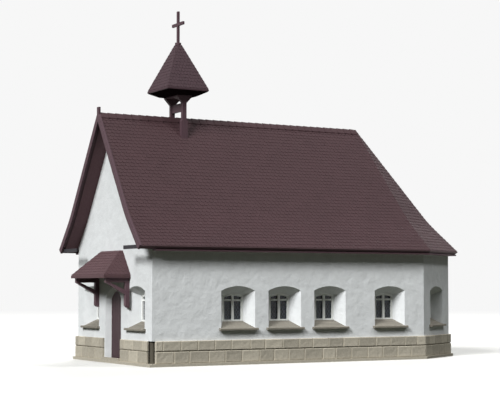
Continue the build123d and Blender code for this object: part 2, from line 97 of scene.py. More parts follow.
def add_node(tree: NodeTree, kind: str, inputs: dict[str | int, object] | None = None,
             **settings: object) -> Node:
    """Adds one node with its settings, values and links.

    Args:
        tree: Node tree that the node goes into.
        kind: Blender's name of the node type.
        inputs: A value or an output socket for each input, by its name or number.
        settings: Attributes of the node, by name.

    Returns:
        The new node.
    """
    node = tree.nodes.new(kind)
    for key, value in settings.items():
        setattr(node, key, value)
    feed(tree, node, inputs or {})
    return node


def toned(tree: NodeTree, tint: str, factor: NodeSocket, tones: Pair) -> NodeSocket:
    """Makes a colour darker or lighter by a factor.

    Args:
        tree: Node tree of the material.
        tint: The colour, in hex.
        factor: Socket that runs from 0 to 1.
        tones: Brightness at factor 0 and at factor 1.

    Returns:
        Colour socket.
    """
    value = add_node(tree, "ShaderNodeMapRange", {
        "Value": factor, "To Min": tones[0], "To Max": tones[1]})
    return add_node(tree, "ShaderNodeHueSaturation", {
        "Color": linear(tint), "Value": value.outputs[0]}).outputs[0]


def new_material(name: str) -> Material:
    """Makes a material that still has only Blender's own shader and output.

    Args:
        name: Its name.

    Returns:
        The material.
    """
    material = bpy.data.materials.new(name)
    material.use_nodes = True
    return material


# Finishes

@dataclass(frozen=True)
class Noise:
    """Noise pattern whose size is a real length.

    Attributes:
        size_mm: Length in which it repeats about once.
        detail: How many finer patterns lie on top.
        roughness: Strength of each finer pattern beside the one before it.
    """

    size_mm: float
    detail: float = 3.0
    roughness: float = 0.5

    def over(self, place: NodeSocket) -> dict[str, object]:
        """Inputs that lay the pattern over the places on an object."""
        return {"Vector": place, "Scale": 1.0 / (self.size_mm * MM), "Detail": self.detail,
                "Roughness": self.roughness}


@dataclass(frozen=True)
class MouldedPlastic:
    """Matt injection-moulded polystyrene, the base of every finish here.

    The dye leaves faint clouds about 9 mm across, and the spark-eroded mould a fine grain that
    keeps the shine down. The real grain is under 0.1 mm and wouldn't show, so it is drawn at
    0.5 mm.

    Attributes:
        slot: The record's material slot that its pieces belong to; nothing in this script reads it.
        tones: Brightness of the tint where it is darkest and where it is lightest.
        cloud: Pattern of the brightness, which without one follows the grain.
        grain: Pattern of the surface's height, which is relief_mm.
        own_tone: Weight of the brightness that each loose bit has for itself.
    """

    name: str
    tint: str
    slot: str
    roughness: float = 0.62
    relief_mm: float = 0.03
    specular: float = 0.12
    tones: Pair = (0.94, 1.06)
    cloud: Noise | None = Noise(9.0)
    grain: Noise = Noise(0.5)
    own_tone: float = 0.0
    bump: float = 0.7
    transmission: float = 0.0

    def place(self, tree: NodeTree) -> NodeSocket:
        """Place on the object, over which the patterns lie."""
        return add_node(tree, "ShaderNodeTexCoord").outputs["Object"]

    def brightness(self, tree: NodeTree, place: NodeSocket) -> NodeSocket:
        """Lays the pattern of the brightness.

        Args:
            tree: Node tree of the material.
            place: Place on the object.

        Returns:
            Socket of the brightness before it is fitted to the tones.
        """
        pattern = self.cloud or self.grain
        cloud = add_node(tree, "ShaderNodeTexNoise", pattern.over(place)).outputs["Fac"]
        if not self.own_tone:
            return cloud
        own = add_node(tree, "ShaderNodeNewGeometry").outputs["Random Per Island"]
        return add_node(tree, "ShaderNodeMath", {0: own, 1: self.own_tone, 2: cloud},
                        operation="MULTIPLY_ADD").outputs[0]

    def height(self, tree: NodeTree, place: NodeSocket) -> NodeSocket:
        """Height of the surface, by its grain."""
        return add_node(tree, "ShaderNodeTexNoise", self.grain.over(place)).outputs["Fac"]

    def build(self) -> Material:
        """Makes the material.

        Returns:
            The material, with every even value on its shader's own sockets.
        """
        material = new_material(self.name)
        material.diffuse_color = linear(self.tint)
        tree = material.node_tree
        place = self.place(tree)
        bump = add_node(tree, "ShaderNodeBump", {
            "Height": self.height(tree, place), "Strength": self.bump,
            "Distance": self.relief_mm * MM})
        feed(tree, tree.nodes["Principled BSDF"], {
            "Base Color": toned(tree, self.tint, self.brightness(tree, place), self.tones),
            "Normal": bump.outputs["Normal"], "Roughness": self.roughness,
            "IOR": POLYSTYRENE_IOR, "Specular IOR Level": self.specular,
            "Transmission Weight": self.transmission})
        return material


@dataclass(frozen=True)
class RoughcastPlaster(MouldedPlastic):
    """White polystyrene walls with a moulded plaster skin.

    The mould was stippled by hand, so the light breaks up into soft patches, the size of a
    trowel's sweep, with a fine grit on low waves. The real grit is about 0.2 mm and wouldn't
    show, so it is drawn at 0.7 mm.
    """

    slot: str = "wall_plastic"
    roughness: float = 0.75
    relief_mm: float = 0.12
    tones: Pair = (0.86, 1.10)
    cloud: Noise = Noise(3.6, 4.0, 0.6)
    grain: Noise = Noise(0.7, 4.0, 0.65)
    wave: Noise = Noise(3.6, 2.0)
    wave_height: float = 3.0

    def height(self, tree: NodeTree, place: NodeSocket) -> NodeSocket:
        """Grit on top of the waves."""
        wave = add_node(tree, "ShaderNodeTexNoise", self.wave.over(place)).outputs["Fac"]
        return add_node(tree, "ShaderNodeMath", {
            0: wave, 1: self.wave_height, 2: super().height(tree, place)},
            operation="MULTIPLY_ADD").outputs[0]


@dataclass(frozen=True)
class CutStone(MouldedPlastic):
    """Polystyrene moulded as cut stone and washed with thin dark paint.

    The wash stays in the pits, so each stone is mottled, and no two stones are the same tone.
    The real pits are about 0.3 mm and wouldn't show, so they are drawn at 0.9 mm.
    """

    slot: str = "stone_plastic"
    roughness: float = 0.8
    relief_mm: float = 0.10
    tones: Pair = (0.56, 1.24)
    cloud: Noise | None = None
    grain: Noise = Noise(0.9, 4.0, 0.7)
    own_tone: float = 0.45


@dataclass(frozen=True)
class MouldedTile(MouldedPlastic):
    """Red-brown dyed polystyrene moulded as plain tiles.

    The mould was cut tile by tile, so each is a little different in tone, on top of faint
    weathering in patches of about 14 mm, and the rows look laid by hand.
    """

    slot: str = "tile_plastic"
    tones: Pair = (0.86, 1.10)
    cloud: Noise = Noise(14.0)
    own_tone: float = 0.35


class Grain(Enum):
    """Direction of moulded wood grain, as what the place on each axis is multiplied by."""

    ALONG_X = (0.08, 1.0, 1.0)
    ALONG_Y = (1.0, 0.08, 1.0)
    ALONG_Z = (1.0, 1.0, 0.08)


@dataclass(frozen=True)
class MouldedTimber(MouldedPlastic):
    """Dark brown polystyrene moulded from sawn boards, with the grain along the board.

    The grain catches the light in fine streaks. Its real lines are about 0.2 mm apart and
    wouldn't show, so they are drawn at 0.45 mm.
    """

    tint: str = "#4f3c42"
    slot: str = "timber_plastic"
    roughness: float = 0.6
    relief_mm: float = 0.06
    tones: Pair = (0.72, 1.22)
    cloud: Noise | None = None
    grain: Noise = Noise(0.45, 4.0, 0.6)
    runs: Grain = Grain.ALONG_X

    def place(self, tree: NodeTree) -> NodeSocket:
        """Place on the object, drawn together along the grain."""
        return add_node(tree, "ShaderNodeVectorMath", {0: super().place(tree), 1: self.runs.value},
                        operation="MULTIPLY").outputs[0]


@dataclass(frozen=True)
class TintedSheet(MouldedPlastic):
    """Clear styrene sheet cut for the panes, tinted dark as painted shade for the unlit inside
    behind it.

    It was rolled between polished plates, so it shines, with a faint pull in the surface.
    """

    slot: str = "glazing"
    roughness: float = 0.12
    relief_mm: float = 0.1
    specular: float = 0.2
    tones: Pair = (0.75, 1.25)
    cloud: Noise | None = None
    grain: Noise = Noise(3.0, 1.0)
    bump: float = 0.2
    transmission: float = 0.5


class Finish(Enum):
    """Every finish of the model, by what it is on."""

    PLASTER = RoughcastPlaster("polystyrene_roughcast_white", "#d8dbdc")
    STONE = CutStone("polystyrene_cut_stone", "#a6a092")
    SILL = CutStone("polystyrene_sill_stone", "#77736a")
    # The wash gathers in the deep bed joint and makes it dark; the upright ones stay pale. The same
    # dark finish is painted shade inside the open corner at the right front.
    DARK_JOINT_AND_PAINTED_SHADE = CutStone("polystyrene_stone_joint_and_painted_shade", "#4f4b42", roughness=0.85, relief_mm=0.06)
    UPRIGHT_JOINT = CutStone("polystyrene_pale_joint", "#aaa393", roughness=0.85, relief_mm=0.06)
    TILE = MouldedTile("polystyrene_roof_tile", "#3e2c2f")
    SPIRE_TILE = MouldedTile("polystyrene_spire_shingle", "#3c2c31")
    # Painted light: lighter than the main roof's tiles, because the porch faces the front lamp.
    PORCH_TILE_PAINTED_LIGHT = MouldedTile("polystyrene_porch_tile_painted_light", "#4e3a3d")
    TIMBER_X = MouldedTimber("polystyrene_timber_x", runs=Grain.ALONG_X)
    TIMBER_Y = MouldedTimber("polystyrene_timber_y", runs=Grain.ALONG_Y)
    TIMBER_Z = MouldedTimber("polystyrene_timber_z", runs=Grain.ALONG_Z)
    # Painted light, as on the porch tiles: the brackets are lighter than the other timbers because
    # they face the front lamp.
    BRACKET_PAINTED_LIGHT = MouldedTimber("polystyrene_bracket_painted_light", "#5f4950", runs=Grain.ALONG_Z)
    # Painted light: lighter than the tiles, so that the boards under the verge look lit although
    # they lie in shade.
    RAKE_PAINTED_LIGHT = MouldedTimber("polystyrene_rake_board_painted_light", "#644b50", runs=Grain.ALONG_Z)
    # Painted shade: the near-black sheet under the spire stands in for the shade beneath its eave.
    SPIRE_PAINTED_SHADE = MouldedTimber("polystyrene_spire_underside_painted_shade", "#2a2226", "tile_plastic",
                           roughness=0.9, specular=0.0)
    # Painted shade: near black, for the shade that the eave return boards lie in.
    RETURN_BOARD_PAINTED_SHADE = MouldedTimber("polystyrene_return_board_painted_shade", "#2c2a2e")
    # Finer grain than on the boards, under a coat that gives the planks a faint sheen.
    DOOR = MouldedTimber("polystyrene_door_planks", "#3f2f33", "door_plastic", roughness=0.55,
                         specular=0.15, grain=Noise(0.4, 4.0, 0.6), runs=Grain.ALONG_Z)
    # Brushed-on satin paint, so the fittings shine a little more than the planks.
    IRON = MouldedPlastic("painted_iron_fittings", "#2b2a2c", "door_plastic",
                          roughness=0.45, relief_mm=0.02, specular=0.3)
    # The window bars are white plastic, the sleekest here for their smooth mould faces; their white
    # is raised a little as painted light, since the bars sit in the splay's shade.
    WINDOW = MouldedPlastic("polystyrene_window_white_painted_light", "#eaece9", "window_plastic",
                            roughness=0.45, relief_mm=0.02, specular=0.2)
    # Printed on the sheet, so the cames are flat and dull grey.
    LEAD = MouldedPlastic("printed_lead_cames", "#4a525c", "glazing",
                          roughness=0.5, relief_mm=0.01, specular=0.2)
    # Painted shade: the dark tint stands in for the shade inside the building.
    GLASS_PAINTED_SHADE = TintedSheet("clear_styrene_sheet_painted_shade", "#262e38")

    @cached_property
    def material(self) -> Material:
        """The finish's material, made when it is first asked for."""
        return self.value.build()


# Meshes

def add_object(name: str, data: bpy.types.ID) -> bpy.types.Object:
    """Puts a new object into the scene.

    Args:
        name: Name of the object.
        data: Its mesh, lamp or camera data.

    Returns:
        The object.
    """
    thing = bpy.data.objects.new(name, data)
    bpy.context.scene.collection.objects.link(thing)
    return thing


def band(low: int, high: int, count: int) -> list[Sequence[int]]:
    """Faces between two closed rings of points, one numbered from low and one from high."""
    return [(low + i, low + (i + 1) % count, high + (i + 1) % count, high + i)
            for i in range(count)]


@dataclass
class Draft:
    """Points and faces of one piece in millimetres, until it is made."""

    # Corners move in by this much more than the chamfer, because they move along a diagonal.
    DIAGONAL = 1.4
    # Points nearer to a cutting plane than this, in metres, lie on it.
    ON_PLANE = 1e-7

    name: str
    points: list[Vector] = field(default_factory=list)
    faces: list[tuple[int, ...]] = field(default_factory=list)

    def add(self, points: Iterable[Vector], faces: Iterable[Sequence[int]]) -> None:
        """Adds a loose bit of mesh.

        Args:
            points: Its points.
            faces: Its faces, numbered from its own first point.
        """
        start = len(self.points)
        self.points.extend(points)
        self.faces.extend(tuple(start + i for i in face) for face in faces)

    def loft(self, rings: Sequence[Sequence[Vector]]) -> None:
        """Adds a closed bit that runs through rings of points.

        Args:
            rings: Rings of equally many points; the first and the last are capped.
        """
        count, last = len(rings[0]), len(rings) - 1
        faces: list[Sequence[int]] = [range(count - 1, -1, -1)]
        for level in range(last):
            faces += band(level * count, (level + 1) * count, count)
        faces.append(range(last * count, (last + 1) * count))
        self.add([p for ring in rings for p in ring], faces)

    def prism(self, outline: Sequence[Vector], depth: Vector, chamfer: float = 0.0) -> None:
        """Adds a closed prism whose front edge may be chamfered.

        Args:
            outline: Back outline, in order round its convex middle.
            depth: From the back outline to the front face.
            chamfer: Width of the bevel round the front face.
        """
        rings = [outline]
        if chamfer:
            middle = sum(outline, Vector()) / len(outline)
            rings.append([p + depth - depth.normalized() * chamfer for p in outline])
            outline = [p + (middle - p).normalized() * chamfer * self.DIAGONAL for p in outline]
        self.loft([*rings, [p + depth for p in outline]])

    def make(self, finish: Finish, closed: bool = True,
             cuts: Sequence[tuple[Vector, Vector]] = (), replaces: Sequence[str] = ()) -> None:
        """Turns the draft into a piece that rides on the model.

        Args:
            finish: Its finish.
            closed: Whether every bit is closed, so that its normals can be worked out.
            cuts: Planes, as point and normal, beyond which the mesh is cut away.
            replaces: CAD nodes that it stands for.
        """
        mesh = bpy.data.meshes.new(self.name)
        mesh.from_pydata([p * MM for p in self.points], [], self.faces)
        bm = bmesh.new()
        bm.from_mesh(mesh)
        for point, normal in cuts:
            bmesh.ops.bisect_plane(bm, geom=bm.verts[:] + bm.edges[:] + bm.faces[:],
                                   dist=self.ON_PLANE, plane_co=point * MM, plane_no=normal,
                                   clear_outer=True)
        if closed:
            bmesh.ops.recalc_face_normals(bm, faces=bm.faces[:])
        bm.to_mesh(mesh)
        bm.free()
        mesh.materials.append(finish.material)
        piece = add_object(self.name, mesh)
        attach(piece, BODY)
        if replaces:
            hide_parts(*replaces)
        LOG.info("%s: %d faces", self.name, len(mesh.polygons))


def radial(angle: float) -> Vector:
    """Horizontal unit vector at an angle in degrees from +X."""
    return Vector((math.cos(math.radians(angle)), math.sin(math.radians(angle)), 0.0))


def dress(finish: Finish, *nodes: str) -> None:
    """Gives carried-over CAD nodes their finish.

    Args:
        finish: The finish.
        nodes: Names of the nodes.
    """
    for name in nodes:
        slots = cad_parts[name].data.materials
        slots.clear()
        slots.append(finish.material)
        LOG.info("%s: %s", name, finish.value.name)


# The building's plan, as in the CAD model

@dataclass(frozen=True)
class Plan:
    """Main sizes that the dressing shares with the CAD model."""

    half_width: float = 37.5
    front_y: float = -67.0
    back_y: float = 67.0
    facet_turn: float = 32.0
    ground: float = 1.2
    plinth_top: float = 10.2
    plinth_proud: float = 1.0
    ridge_z: float = 105.0
    eave_z: float = 48.0
    eave_half: float = 41.5
    flare_run: float = 12.0
    flare_pitch: float = 48.0
    flare_radius: float = 60.0
    flare_steps: int = 6
    verge_y: float = -73.7

    @property
    def apex(self) -> Vector:
        """Centre of the apse on the ground, below the end of the ridge."""
        turn = math.radians(self.facet_turn / 2)
        return Vector((0.0, self.back_y - self.half_width * math.tan(turn), 0.0))

    @property
    def facings(self) -> tuple[float, ...]:
        """Directions of the sides, from the right wall round the apse to the left wall."""
        return (0.0, self.facet_turn, 90.0, 180.0 - self.facet_turn, 180.0)

    def mitre(self, side: int) -> float:
        """Direction of the corner between one side and the next."""
        return (self.facings[side] + self.facings[side + 1]) / 2

    def spread(self, side: int) -> float:
        """How far the corner after a side moves along it for each millimetre out."""
        return math.tan(math.radians(self.mitre(side) - self.facings[side]))


PLAN = Plan()


@dataclass(frozen=True)
class Face:
    """Upright wall face with its own place and directions.

    Attributes:
        origin: Point on the ground at the middle of what lies on the face.
        along: Horizontal direction along the wall.
        outward: Direction away from the building.
    """

    origin: Vector
    along: Vector
    outward: Vector

    def at(self, across: float, height: float, out: float = 0.0) -> Vector:
        """Point at a distance along the wall, a height, and a distance out of it."""
        return self.origin + self.along * across + UP * height + self.outward * out

    def rectangle(self, across: Pair, heights: Pair, out: float = 0.0) -> list[Vector]:
        """Corners of an upright rectangle, in order from the first low one."""
        (a, b), (low, high) = across, heights
        return [self.at(x, z, out) for x, z in ((a, low), (b, low), (b, high), (a, high))]


def wall_face(side: int, across: float = 0.0) -> Face:
    """Outer face of one side, with its origin at a distance along it from the middle."""
    outward, along = radial(PLAN.facings[side]), radial(PLAN.facings[side] + 90)
    return Face(PLAN.apex + outward * PLAN.half_width + along * across, along, outward)


def front_face(x: float = 0.0, y: float = PLAN.front_y) -> Face:
    """Face of the gable wall, or one level with it, with its origin at a place on it."""
    return Face(Vector((x, y, 0.0)), RIGHT, -BACK)


# Roof

@dataclass(frozen=True)
class Slope:
    """One roof slope as a profile swept level along the eaves.

    Attributes:
        centre: Point on the ground that distances are measured from.
        facing: Direction in which the slope falls, in degrees from +X.
        profile: Distances out and heights from the top of the slope to its foot.
        before: Reach along the slope before its middle, and its growth per millimetre out.
        after: Reach along the slope after its middle, and its growth per millimetre out.
    """

    centre: Vector
    facing: float
    profile: tuple[Pair, ...]
    before: Pair
    after: Pair

    @property
    def length(self) -> float:
        """Length of the profile."""
        return sum(math.dist(a, b) for a, b in zip(self.profile, self.profile[1:]))

    def span(self, out: float) -> Pair:
        """Lowest and highest place along the slope at a distance out."""
        return -(self.before[0] + self.before[1] * out), self.after[0] + self.after[1] * out

    def out_and_height(self, down: float) -> tuple[float, float, float]:
        """Finds a place on the profile.

        Args:
            down: Distance down the profile from its top; it may run past either end.

        Returns:
            Distance out, height, and the angle of fall there in radians.
        """
        for a, b in zip(self.profile, self.profile[1:]):
            step = math.dist(a, b)
            if down <= step or b == self.profile[-1]:
                break
            down -= step
        share = down / step
        fall = math.atan2(a[1] - b[1], b[0] - a[0])
        return a[0] + (b[0] - a[0]) * share, a[1] + (b[1] - a[1]) * share, fall

    def point(self, along: float, down: float, lift: float) -> Vector:
        """Finds a point over the slope.

        Args:
            along: Distance along the slope from its middle.
            down: Distance down the profile from its top.
            lift: Height over the slope, square to it.

        Returns:
            The point.
        """
        out, height, fall = self.out_and_height(down)
        out += lift * math.sin(fall)
        height += lift * math.cos(fall)
        return (self.centre + radial(self.facing) * out + radial(self.facing + 90) * along
                + UP * height)


def roof_profile() -> tuple[Pair, ...]:
    """Draws the main roof's tile face: steep, then flared, with a curved change.

    Returns:
        Distances out and heights, from the ridge to the eave.
    """
    flare = math.radians(PLAN.flare_pitch)
    break_x = PLAN.eave_half - PLAN.flare_run
    break_z = PLAN.eave_z + PLAN.flare_run * math.tan(flare)
    steep = math.atan2(PLAN.ridge_z - break_z, break_x)
    radius = PLAN.flare_radius
    tangent = radius * math.tan((steep - flare) / 2)
    centre_x = break_x - tangent * math.cos(steep) + radius * math.sin(steep)
    centre_z = break_z + tangent * math.sin(steep) + radius * math.cos(steep)
    steps = PLAN.flare_steps
    angles = [steep + (flare - steep) * i / steps for i in range(steps + 1)]
    bend = [(centre_x - radius * math.sin(a), centre_z - radius * math.cos(a)) for a in angles]
    return ((0.0, PLAN.ridge_z), *bend, (PLAN.eave_half, PLAN.eave_z))


@dataclass(frozen=True)
class TileGauge:
    """Sizes of a plain tile with a rounded tail, at 1:87 of a real one 180 mm wide."""

    width: float = 2.0
    exposure: float = 1.75
    lap: float = 0.35
    tail: float = 0.5
    head_lift: float = 0.02
    lift: float = 0.17
    thickness: float = 0.13
    gap: float = 0.09
    tail_steps: int = 4
    foot: float = 0.35
    uneven_tail: float = 0.04
    uneven_lift: float = 0.03

    def lay(self, draft: Draft, slope: Slope, chance: random.Random, stop: float = 0.0) -> None:
        """Lays courses of tiles from the foot of a slope to its top.

        Args:
            draft: Mesh that takes the tiles.
            slope: Surface that they lie on.
            chance: Seeded source of the small differences between tiles.
            stop: Distance down the slope at which the courses end.
        """
        for course in itertools.count():
            low = slope.length - self.foot - course * self.exposure
            if low < stop:
                return
            top = max(low - self.exposure - self.lap, 0.0)
            start, end = slope.span(slope.out_and_height(low)[0])
            offset = self.width / 2 if course % 2 else 0.0
            first = math.floor((start - offset) / self.width) - 1
            last = math.ceil((end - offset) / self.width) + 1
            for column in range(first, last + 1):
                middle = column * self.width + offset
                if start <= middle + self.width / 2 and middle - self.width / 2 <= end:
                    self.tile(draft, slope, middle, top,
                              low + chance.uniform(-self.uneven_tail, self.uneven_tail),
                              chance.uniform(-self.uneven_lift, self.uneven_lift))

    def tile(self, draft: Draft, slope: Slope, middle: float, top: float, low: float,
             rise: float) -> None:
        """Adds one tile: its upper face, its sides and its rounded tail.

        Args:
            draft: Mesh that takes the tile.
            slope: Surface that it lies on.
            middle: Place of its middle along the slope.
            top: Distance down the slope to its head.
            low: Distance down the slope to its tail.
            rise: How much more than the usual lift its tail has.
        """
        half = (self.width - self.gap) / 2
        outline = [(-half, top), (-half, low - self.tail)]
        for step in range(1, self.tail_steps):
            angle = math.pi * step / self.tail_steps
            outline.append((-half * math.cos(angle), low - self.tail + self.tail * math.sin(angle)))
        outline += [(half, low - self.tail), (half, top)]
        points = []
        for drop in (0.0, self.thickness):
            for across, down in outline:
                share = max((down - top) / (low - top), 0.0)
                lift = self.head_lift + (self.lift + rise - self.head_lift) * share - drop
                points.append(slope.point(middle + across, down, lift))
        count = len(outline)
        faces: list[Sequence[int]] = [range(count)]
        faces += [(i + 1, i, count + i, count + i + 1) for i in range(count - 1)]
        draft.add(points, faces)


@dataclass
class MainRoof:
    """Tiles of the main roof and the apse, the ridge tiles, and the boards under the verge."""

    gauge: TileGauge = field(default_factory=TileGauge)
    bare_top: float = 0.6
    ridge_tile: float = 3.6
    ridge_half: float = 1.75
    ridge_shares: tuple[float, ...] = (1.0, 0.35, 0.12)
    ridge_lifts: Pair = (0.50, 0.36)
    ridge_overlap: float = 0.5
    ridge_thickness: float = 0.35
    crown_drop: float = 0.25
    crown_half: float = 0.6
    shell: float = 1.7
    verge_board: float = 0.1
    verge_board_start: float = 0.95
    verge_stop: float = 0.05
    seed: int = 11

    def build(self) -> None:
        """Makes the tile fields of the five slopes, the ridge tiles and the verge boards."""
        profile = roof_profile()
        names = ("right", "apse_right", "apse_end", "apse_left", "left")
        verge = (PLAN.apex.y - PLAN.verge_y, 0.0)
        for side, (name, facing) in enumerate(zip(names, PLAN.facings)):
            before, after, cuts = verge, verge, []
            if side > 0:
                before = (0.0, PLAN.spread(side - 1))
                cuts.append((PLAN.apex, -radial(PLAN.mitre(side - 1) + 90)))
            if side < len(names) - 1:
                after = (0.0, PLAN.spread(side))
                cuts.append((PLAN.apex, radial(PLAN.mitre(side) + 90)))
            if verge in (before, after):
                cuts.append((Vector((0.0, PLAN.verge_y, 0.0)), -BACK))
            draft = Draft(f"roof_tiles_{name}")
            self.gauge.lay(draft, Slope(PLAN.apex, facing, profile, before, after),
                           random.Random(self.seed + side), self.bare_top)
            draft.make(Finish.TILE, closed=False, cuts=cuts)
        self.build_ridge()
        self.build_verges()
        dress(Finish.TILE, *(f"roof_{name}" for name in names))

    def build_verges(self) -> None:
        """Makes the thin board under each slope where it passes the gable, tinted lighter as
        painted light on the shaded underside.
        """
        top = roof_profile()
        tilts = [math.atan2(z0 - z1, x1 - x0) for (x0, z0), (x1, z1) in zip(top, top[1:])]
        tilts.append(tilts[-1])
        near, far = PLAN.verge_y + self.verge_board_start, PLAN.front_y
        for side, name in ((1, "right"), (-1, "left")):
            rows = []
            for drop in (self.shell - self.verge_board, self.shell + self.verge_board):
                row = [Vector((side * (x - drop * math.sin(tilt)), near, z - drop * math.cos(tilt)))
                       for (x, z), tilt in zip(top, tilts)]
                peak = PLAN.ridge_z - drop / math.cos(tilts[0]) - self.shell * math.tan(tilts[0])
                row[0] = Vector((side * self.shell, near, peak))
                row[-1] = row[-1].lerp(row[-2], self.verge_stop)
                rows.append(row)
            draft = Draft(f"verge_boards_painted_light_{name}")
            draft.prism(rows[0] + rows[1][::-1], BACK * (far - near))
            draft.make(Finish.RAKE_PAINTED_LIGHT)

    def build_ridge(self) -> None:
        """Makes the row of ridge tiles, each lapping over the one behind it."""
        (x0, z0), (x1, z1) = roof_profile()[:2]
        fall = math.atan2(z0 - z1, x1 - x0)
        halves = [self.ridge_half * share for share in self.ridge_shares]
        draft = Draft("ridge_tiles")
        length = PLAN.apex.y - PLAN.verge_y
        count = round(length / self.ridge_tile)
        step = length / count
        for i in range(count):
            start = PLAN.verge_y + i * step
            rings = []
            for y, lift in zip((start, min(start + step + self.ridge_overlap, PLAN.apex.y)),
                               self.ridge_lifts):
                ring = []
                for x in (*(-half for half in halves), *reversed(halves)):
                    z = PLAN.ridge_z - abs(x) * math.tan(fall) + lift / math.cos(fall)
                    z -= self.crown_drop * max(0.0, 1 - abs(x) / self.crown_half)
                    ring.append(Vector((x, y, z)))
                ring += [Vector((p.x, y, p.z - self.ridge_thickness / math.cos(fall)))
                         for p in reversed(ring)]
                rings.append(ring)
            draft.loft(rings)
        draft.make(Finish.TILE, replaces=["ridge_cap"])


@dataclass
class Porch:
    """Tiles on the hipped porch roof, and the finish of its timbers."""

    half_width: float = 17.3
    depth: float = 12.0
    eave_z: float = 36.6
    top_z: float = 47.0
    top_half: float = 9.4
    top_depth: float = 1.4
    bare_top: float = 0.2
    gauge: TileGauge = field(default_factory=lambda: TileGauge(width=1.9, exposure=1.6))
    seed: int = 31

    def build(self) -> None:
        """Makes the tiles of the three slopes."""
        foot = Vector((0.0, PLAN.front_y, 0.0))
        front_profile = ((self.top_depth, self.top_z), (self.depth, self.eave_z))
        side_profile = ((self.top_half, self.top_z), (self.half_width, self.eave_z))
        corner = Vector((self.half_width, -self.depth, 0.0)) + foot
        inner = Vector((self.top_half, -self.top_depth, 0.0)) + foot
        hip = (corner - inner).normalized()
        # Each hip as a plane whose normal points away from the front slope.
        right, left = ((Vector((side * corner.x, corner.y, 0.0)),
                        Vector((-side * hip.y, hip.x, 0.0))) for side in (1, -1))
        wall = (foot, BACK)
        slopes = (
            ("front", -90.0, front_profile, self.half_width, [right, left]),
            ("right", 0.0, side_profile, self.depth, [(right[0], -right[1]), wall]),
            ("left", 180.0, side_profile, self.depth, [(left[0], -left[1]), wall]),
        )
        for i, (name, facing, profile, reach, cuts) in enumerate(slopes):
            draft = Draft(f"porch_tiles_{name}")
            slope = Slope(foot, facing, profile, (reach, 0.0), (reach, 0.0))
            self.gauge.lay(draft, slope, random.Random(self.seed + i), self.bare_top)
            draft.make(Finish.PORCH_TILE_PAINTED_LIGHT, closed=False, cuts=cuts)
        dress(Finish.PORCH_TILE_PAINTED_LIGHT, "porch_roof")
        dress(Finish.BRACKET_PAINTED_LIGHT, "porch_brackets")


@dataclass
class Turret:
    """Shingles of the spire, and the finish of the turret's timbers and the cross."""

    y: float = -36.8
    eave_z: float = 117.0
    top_z: float = 137.2
    half_width: float = 9.95
    top_half: float = 1.1
    soffit_half: float = 6.0
    soffit_z: float = 114.4
    soffit_rise: float = 2.0
    rim: float = 0.3
    shade_lining: float = 0.12
    gauge: TileGauge = field(default_factory=lambda: TileGauge(
        width=1.5, exposure=1.6, lift=0.13, thickness=0.1, tail=0.2, tail_steps=2))
    seed: int = 51

    def build(self) -> None:
        """Makes the shingles on the four faces."""
        centre = Vector((0.0, self.y, 0.0))
        profile = ((self.top_half, self.top_z), (self.half_width, self.eave_z))
        hip = (0.0, 1.0)
        for i, name in enumerate(("right", "back", "left", "front")):
            facing = 90.0 * i
            draft = Draft(f"spire_shingles_{name}")
            self.gauge.lay(draft, Slope(centre, facing, profile, hip, hip),
                           random.Random(self.seed + i))
            draft.make(Finish.SPIRE_TILE, closed=False,
                       cuts=[(centre, radial(facing + turn)) for turn in (135, -135)])
        self.build_underside_painted_shade()
        dress(Finish.SPIRE_TILE, "spire")
        dress(Finish.TIMBER_Z, "turret_posts", "cross", "verge_finial")
        dress(Finish.TIMBER_X, "turret_rail", "turret_head")

    def build_underside_painted_shade(self) -> None:
        """Makes the thin near-black lining on the sloping underside of the spire, painted shade for
        the shade under its eave.
        """
        rim_half = self.half_width - self.rim
        rim_z = self.soffit_z + self.soffit_rise * (
            (rim_half - self.soffit_half) / (self.half_width - self.soffit_half))
        rings = ((self.soffit_half, self.soffit_z - self.shade_lining), (rim_half, rim_z - self.shade_lining),
                 (rim_half, rim_z + self.shade_lining), (self.soffit_half, self.soffit_z + self.shade_lining))
        corners = ((-1, -1), (1, -1), (1, 1), (-1, 1))
        draft = Draft("spire_underside_painted_shade")
        draft.loft([[Vector((half * x, self.y + half * y, z)) for x, y in corners]
                    for half, z in rings])
        draft.make(Finish.SPIRE_PAINTED_SHADE)


# Walls, plinth and openings

